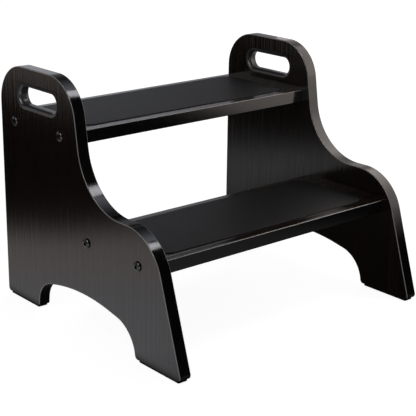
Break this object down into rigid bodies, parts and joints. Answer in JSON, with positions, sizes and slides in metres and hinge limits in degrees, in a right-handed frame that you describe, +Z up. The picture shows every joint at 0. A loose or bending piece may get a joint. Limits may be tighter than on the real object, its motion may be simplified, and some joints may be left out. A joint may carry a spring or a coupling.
{
  "type": "step stool",
  "caption": "Child's step stool with slotted arched side panels, flat treads topped by anti-slip mats, rubber foot pads and bolted knock-down joints.",
  "frame": {"origin": "on the floor, under the centre of the stool's box", "axes": "+X from the left side panel to the right one as seen by someone facing the steps, -Y the way the steps face, +Z up"},
  "size_m": [0.4064, 0.3576, 0.31],
  "materials": {
    "grained_board": "black-brown wood-grain laminate, satin",
    "edge_band": "smooth satin-gloss black edge strip",
    "mat_rubber": "matt charcoal, finely textured",
    "pad_rubber": "matt black",
    "blackened_steel": "black oxide steel, satin",
    "zinc_plated": "zinc-plated steel"
  },
  "bodies": {
    "root": {"side_panel_left": "grained_board", "edge_band_left": "edge_band", "side_panel_right": "grained_board", "edge_band_right": "edge_band", "upper_tread": "grained_board", "upper_tread_band_front": "edge_band", "upper_tread_band_rear": "edge_band", "upper_mat": "mat_rubber", "lower_tread": "grained_board", "lower_tread_band_front": "edge_band", "lower_tread_band_rear": "edge_band", "lower_mat": "mat_rubber", "foot_pad_left_rear": "pad_rubber", "foot_pad_left_front": "pad_rubber", "foot_pad_right_rear": "pad_rubber", "foot_pad_right_front": "pad_rubber", "bolt_left_upper_rear": "blackened_steel", "bolt_left_upper_front": "blackened_steel", "bolt_left_lower_rear": "blackened_steel", "bolt_left_lower_front": "blackened_steel", "bolt_right_upper_rear": "blackened_steel", "bolt_right_upper_front": "blackened_steel", "bolt_right_lower_rear": "blackened_steel", "bolt_right_lower_front": "blackened_steel", "barrel_nut_left_upper_rear": "zinc_plated", "barrel_nut_left_upper_front": "zinc_plated", "barrel_nut_left_lower_rear": "zinc_plated", "barrel_nut_left_lower_front": "zinc_plated", "barrel_nut_right_upper_rear": "zinc_plated", "barrel_nut_right_upper_front": "zinc_plated", "barrel_nut_right_lower_rear": "zinc_plated", "barrel_nut_right_lower_front": "zinc_plated"}
  },
  "joints": []
}
